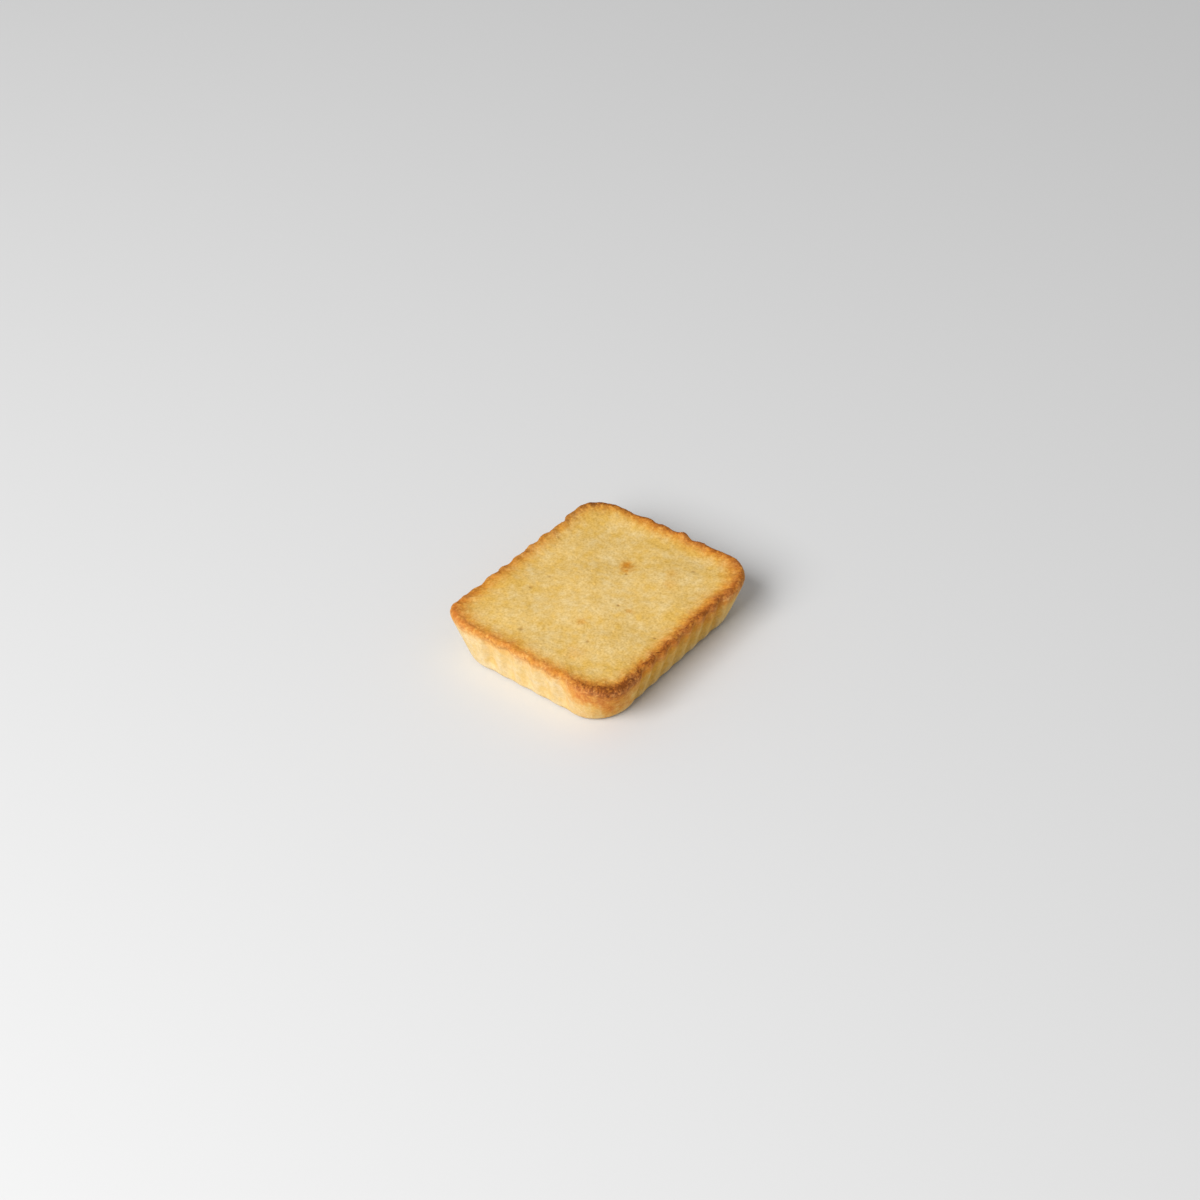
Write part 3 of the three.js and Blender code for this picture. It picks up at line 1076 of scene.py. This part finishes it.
class FinishNodes:
    """The shader nodes of one finish, made and linked by short calls."""

    def __init__(self, name: str) -> None:
        """Starts a material with one principled shader."""
        self.material = bpy.data.materials.new(name)
        self.material.use_nodes = True
        self.tree = self.material.node_tree
        self.shader = self.tree.nodes["Principled BSDF"]

    def feed(self, socket: Socket, value: Value) -> None:
        """Links a socket to another one, or sets it to a plain value."""
        if isinstance(value, Socket):
            self.tree.links.new(value, socket)
        else:
            socket.default_value = value

    def make(self, kind: str, inputs: dict[str | int, Value], **settings: object) -> bpy.types.Node:
        """Makes one node.

        Args:
            kind: Blender's name of the node's type.
            inputs: Values or links for its inputs, by name or number.
            **settings: Other properties of the node.

        Returns:
            The node.
        """
        node = self.tree.nodes.new(kind)
        for name, setting in settings.items():
            setattr(node, name, setting)
        for key, value in inputs.items():
            self.feed(node.inputs[key], value)
        return node

    def trait(self, trait: Trait) -> Socket:
        """Reads a trait of the surface."""
        return self.make("ShaderNodeAttribute", {}, attribute_name=trait.value).outputs["Fac"]

    def millimetres(self) -> Socket:
        """The place on the piece, in millimetres."""
        place = self.make("ShaderNodeTexCoord", {}).outputs["Object"]
        return self.scaled(place, 1.0 / MM)

    def scaled(self, vector: Value, scale: Value) -> Socket:
        """A place or a colour, made larger or smaller."""
        node = self.make("ShaderNodeVectorMath", {0: vector, "Scale": scale}, operation="SCALE")
        return node.outputs[0]

    def math(self, operation: str, first: Value, second: Value = 0.0) -> Socket:
        """One sum on two numbers."""
        return self.make("ShaderNodeMath", {0: first, 1: second}, operation=operation).outputs[0]

    def remap(self, value: Value, start: Range, end: Range) -> Socket:
        """Moves a number from one range to another, and holds it there."""
        inputs = {"Value": value, 1: start[0], 2: start[1], 3: end[0], 4: end[1]}
        return self.make("ShaderNodeMapRange", inputs).outputs[0]

    def noise(self, place: Socket, size: float, detail: float) -> Socket:
        """Cloudy noise from 0 to 1 with swells of a size in millimetres."""
        inputs = {"Vector": place, "Scale": 1.0 / size, "Detail": detail}
        return self.make("ShaderNodeTexNoise", inputs).outputs["Fac"]

    def specks(self, place: Socket, specks: Specks) -> Socket:
        """A number that changes from speck to speck."""
        return self.remap(self.noise(place, specks.size, specks.detail), specks.span, specks.change)

    def grains(self, place: Socket, size: float) -> Socket:
        """Distance from the middle of the nearest grain, for grains of a size in millimetres."""
        node = self.make("ShaderNodeTexVoronoi", {"Vector": place, "Scale": 1.0 / size})
        return node.outputs["Distance"]

    def mix(self, mode: Blend, share: Value, first: Value, second: Value) -> Socket:
        """Lays the second colour over the first."""
        inputs = {0: share, 6: first, 7: second}
        return self.make("ShaderNodeMix", inputs, data_type="RGBA", blend_type=mode.value).outputs[2]

    def ramp(self, share: Socket, stops: Stops) -> Socket:
        """A colour picked by a number from a row of screen colours."""
        node = self.make("ShaderNodeValToRGB", {0: share})
        elements = node.color_ramp.elements
        while len(elements) < len(stops):
            elements.new(0.5)
        for element, (position, colour) in zip(elements, stops):
            element.position = position
            element.color = linear(colour)
        return node.outputs[0]


@dataclass(frozen=True)
class CrumbFinish:
    """The finish of the baked crumb: pale inside the rim, toasted on it, matt all over.

    Tints are laid over the crumb's own colour. Sizes are in millimetres.
    """

    top_gold: Colour = (221, 181, 96)
    top_pale: Colour = (228, 200, 142)
    side_gold: Colour = (225, 192, 127)
    side_pale: Colour = (228, 207, 167)
    tone_span: Range = (-0.8, 0.8)
    # Tint of the golden sides and of their painted shade.
    gold_tint: Colour = (255, 236, 166)
    toast_tints: Stops = (
        (0.0, (255, 255, 255)),
        (0.15, (254, 238, 216)),
        (0.3, (251, 220, 183)),
        (0.45, (248, 207, 165)),
        (0.6, (244, 196, 151)),
        (0.8, (239, 182, 136)),
        (1.0, (232, 168, 125)),
    )
    toast_specks: Specks = Specks(0.6, detail=1.0, span=(0.25, 0.75), change=(-0.26, 0.26))
    toast_curve: float = 0.7
    toast_by_grain: Range = (1.2, 0.8)
    pale_grains: Range = (0.86, 0.94)
    pale_toast: float = 0.74
    # Tint of the singe and of the painted shade on the lip, inside the crest and in the flutes.
    singe_and_shade_tint: Colour = (162, 154, 160)
    singe_specks: Specks = Specks(0.55, detail=1.0, span=(0.3, 0.7), change=(0.5, 1.5))
    singe_by_grain: Range = (1.4, 0.6)
    fine_tints: Stops = (
        (0.28, (230, 224, 203)),
        (0.5, (247, 244, 234)),
        (0.72, (255, 255, 255)),
    )
    fine_size: float = 0.8
    fine_detail: float = 1.5
    fine_on_sides: float = 0.55
    light_by_grain: Range = (0.95, 1.05)
    # Painted shade in the pits.
    pit_shade_colour: Colour = (150, 104, 40)
    pit_shade_share: float = 0.85
    matt_specks: Specks = Specks(1.6, detail=2.0, span=(0.3, 0.7), change=(0.72, 0.92))
    specular: float = 0.1
    bump_size: float = 0.35
    bump_detail: float = 1.0
    bump_height: float = 0.12
    bump_strength: Range = (0.1, 0.22)
    bump_full_toast: float = 0.7
    hollow_size: float = 0.4
    hollow_share: float = 0.8

    def crumb(self, nodes: FinishNodes) -> Socket:
        """Colour of the crumb without its browning: patches of pale and golden, with the golden tint of the
        sides also laying painted shade on the shaded sides and in the flute hollows.
        """
        patch = nodes.remap(nodes.trait(Trait.TONE), self.tone_span, FULL)
        top = nodes.mix(Blend.OVER, patch, linear(self.top_gold), linear(self.top_pale))
        side = nodes.mix(Blend.OVER, patch, linear(self.side_gold), linear(self.side_pale))
        crumb = nodes.mix(Blend.OVER, nodes.trait(Trait.SIDE), top, side)
        return nodes.mix(Blend.TINT, nodes.trait(Trait.GOLD), crumb, linear(self.gold_tint))

    def toast(self, nodes: FinishNodes, place: Socket) -> Socket:
        """How far the crust is browned, with darker and lighter specks; it also carries painted shade on
        the near corner and in the flute hollows.
        """
        toast, own = nodes.trait(Trait.TOAST), nodes.trait(Trait.GRAIN)
        grain = nodes.remap(own, FULL, self.toast_by_grain)
        light = nodes.remap(own, self.pale_grains, (1.0, self.pale_toast))
        grained = nodes.math("MULTIPLY", nodes.math("MULTIPLY", toast, grain), light)
        spread = nodes.math("POWER", toast, self.toast_curve)
        specks = nodes.math("MULTIPLY", nodes.specks(place, self.toast_specks), spread)
        return nodes.math("ADD", grained, specks)

    def singe(self, nodes: FinishNodes, place: Socket) -> Socket:
        """How dark the crust is, singed and with painted shade, with darker and lighter specks."""
        grain = nodes.remap(nodes.trait(Trait.GRAIN), FULL, self.singe_by_grain)
        specks = nodes.math("MULTIPLY", nodes.specks(place, self.singe_specks), grain)
        return nodes.math("MULTIPLY", nodes.trait(Trait.SINGE), specks)

    def colour(self, nodes: FinishNodes, place: Socket) -> Socket:
        """Colour of the crust: the crumb with its browning, grains and pits, with painted shade in the
        pits.
        """
        browned = nodes.ramp(self.toast(nodes, place), self.toast_tints)
        colour = nodes.mix(Blend.TINT, 1.0, self.crumb(nodes), browned)
        colour = nodes.mix(Blend.TINT, self.singe(nodes, place), colour, linear(self.singe_and_shade_tint))
        fine = nodes.ramp(nodes.noise(place, self.fine_size, self.fine_detail), self.fine_tints)
        fineness = nodes.remap(nodes.trait(Trait.SIDE), FULL, (1.0, self.fine_on_sides))
        colour = nodes.mix(Blend.TINT, fineness, colour, fine)
        colour = nodes.scaled(colour, nodes.remap(nodes.trait(Trait.GRAIN), FULL, self.light_by_grain))
        # Painted shade darkens the pits.
        pit = nodes.math("MULTIPLY", nodes.trait(Trait.PIT), self.pit_shade_share)
        return nodes.mix(Blend.OVER, pit, colour, linear(self.pit_shade_colour))

    def bump(self, nodes: FinishNodes, place: Socket) -> Socket:
        """Roughness finer than the mesh, stronger where the crust is browned."""
        hollows = nodes.math("MULTIPLY", nodes.grains(place, self.hollow_size), self.hollow_share)
        bumps = nodes.math("SUBTRACT", nodes.noise(place, self.bump_size, self.bump_detail), hollows)
        strength = nodes.remap(nodes.trait(Trait.TOAST), (0.0, self.bump_full_toast), self.bump_strength)
        inputs = {"Height": bumps, "Strength": strength, "Distance": self.bump_height * MM}
        return nodes.make("ShaderNodeBump", inputs).outputs["Normal"]

    def dress(self, piece: bpy.types.Object) -> None:
        """Makes the finish and puts it on the bar."""
        nodes = FinishNodes(SLOT)
        place, sockets = nodes.millimetres(), nodes.shader.inputs
        nodes.feed(sockets["Base Color"], self.colour(nodes, place))
        nodes.feed(sockets["Roughness"], nodes.specks(place, self.matt_specks))
        nodes.feed(sockets["Specular IOR Level"], self.specular)
        nodes.feed(sockets["Normal"], self.bump(nodes, place))
        piece.data.materials.append(nodes.material)


def direction(azimuth: float, elevation: float) -> Vector:
    """Points from the bar to a place around it.

    Args:
        azimuth: Degrees round the bar from its near long side, positive to the right.
        elevation: Degrees over the floor.

    Returns:
        A vector of length 1.
    """
    a, e = math.radians(azimuth), math.radians(elevation)
    return Vector((math.sin(a) * math.cos(e), -math.cos(a) * math.cos(e), math.sin(e)))


@dataclass(frozen=True)
class StudioLight:
    """A square soft light, placed by its direction from the bar. Sizes are in metres."""

    name: str
    azimuth: float
    elevation: float
    distance: float
    size: float
    power: float

    def build(self) -> bpy.types.Object:
        """Makes the light and turns it to the bar."""
        lamp = bpy.data.lights.new(self.name, "AREA")
        lamp.size = self.size
        lamp.energy = self.power
        light = bpy.data.objects.new(self.name, lamp)
        back = direction(self.azimuth, self.elevation)
        light.location = back * self.distance
        light.rotation_mode = "QUATERNION"
        light.rotation_quaternion = (-back).to_track_quat("-Z", "Y")
        bpy.context.scene.collection.objects.link(light)
        return light


@dataclass(frozen=True)
class PhotoCamera:
    """The camera that looks down on the near corner. Sizes are in metres."""

    azimuth: float = -51.72
    elevation: float = 41.19
    roll: float = -0.751
    distance: float = 0.9947
    aim: tuple[float, float, float] = (0.0126, 0.01034, 0.0)
    lens: float = 80.397
    sensor: float = 36.0

    def build(self) -> bpy.types.Object:
        """Makes the camera and gives it to the scene."""
        data = bpy.data.cameras.new("photo_camera")
        data.lens = self.lens
        data.sensor_width = self.sensor
        camera = bpy.data.objects.new("photo_camera", data)
        back = direction(self.azimuth, self.elevation)
        camera.location = Vector(self.aim) + back * self.distance
        camera.rotation_mode = "QUATERNION"
        turn = Quaternion((0.0, 0.0, 1.0), math.radians(self.roll))
        camera.rotation_quaternion = (-back).to_track_quat("-Z", "Y") @ turn
        bpy.context.scene.collection.objects.link(camera)
        bpy.context.scene.camera = camera
        return camera


@dataclass(frozen=True)
class Studio:
    """The plain pale floor and the light round it."""

    floor_radius: float = 8.0
    floor_sides: int = 96
    floor_colour: Colour = (213, 213, 213)
    floor_roughness: float = 0.7
    floor_specular: float = 0.2
    sky_colour: Colour = (240, 240, 240)
    sky_strength: float = 0.455
    lights: tuple[StudioLight, ...] = (
        StudioLight("window_light", azimuth=-96.0, elevation=42.0, distance=1.8, size=1.18, power=38.9),
    )

    def floor(self) -> bpy.types.Object:
        """A round pale floor at the level of the bar's base."""
        mesh = bpy.data.meshes.new("floor")
        turns = np.linspace(0.0, 2.0 * math.pi, self.floor_sides, endpoint=False)
        ring = [(self.floor_radius * math.cos(t), self.floor_radius * math.sin(t), 0.0) for t in turns]
        mesh.from_pydata(ring, [], [list(range(len(ring)))])
        floor = bpy.data.objects.new("floor", mesh)
        bpy.context.scene.collection.objects.link(floor)
        nodes = FinishNodes("pale_floor")
        nodes.feed(nodes.shader.inputs["Base Color"], linear(self.floor_colour))
        nodes.feed(nodes.shader.inputs["Roughness"], self.floor_roughness)
        nodes.feed(nodes.shader.inputs["Specular IOR Level"], self.floor_specular)
        mesh.materials.append(nodes.material)
        return floor

    def sky(self) -> bpy.types.World:
        """Even soft light from all round."""
        world = bpy.data.worlds.new("soft_sky")
        world.use_nodes = True
        background = world.node_tree.nodes["Background"]
        background.inputs["Color"].default_value = linear(self.sky_colour)
        background.inputs["Strength"].default_value = self.sky_strength
        bpy.context.scene.world = world
        return world

    def build(self) -> None:
        """Sets up the floor, the sky and the lights."""
        self.floor()
        self.sky()
        for light in self.lights:
            light.build()
        bpy.context.scene.view_settings.view_transform = "Standard"


def main() -> None:
    """Builds the camera, the studio and the bar."""
    logging.basicConfig(level=logging.INFO, format="%(name)s: %(message)s")
    PhotoCamera().build()
    Studio().build()
    outline, noise = Outline(), CrumbNoise(CRUMB_SEED)
    cake = CakeBar(outline, Crust(outline, noise), CrumbRelief(noise))
    surface = cake.surface()
    CrumbFinish().dress(cake.build(surface))


if __name__ == "__main__":
    main()
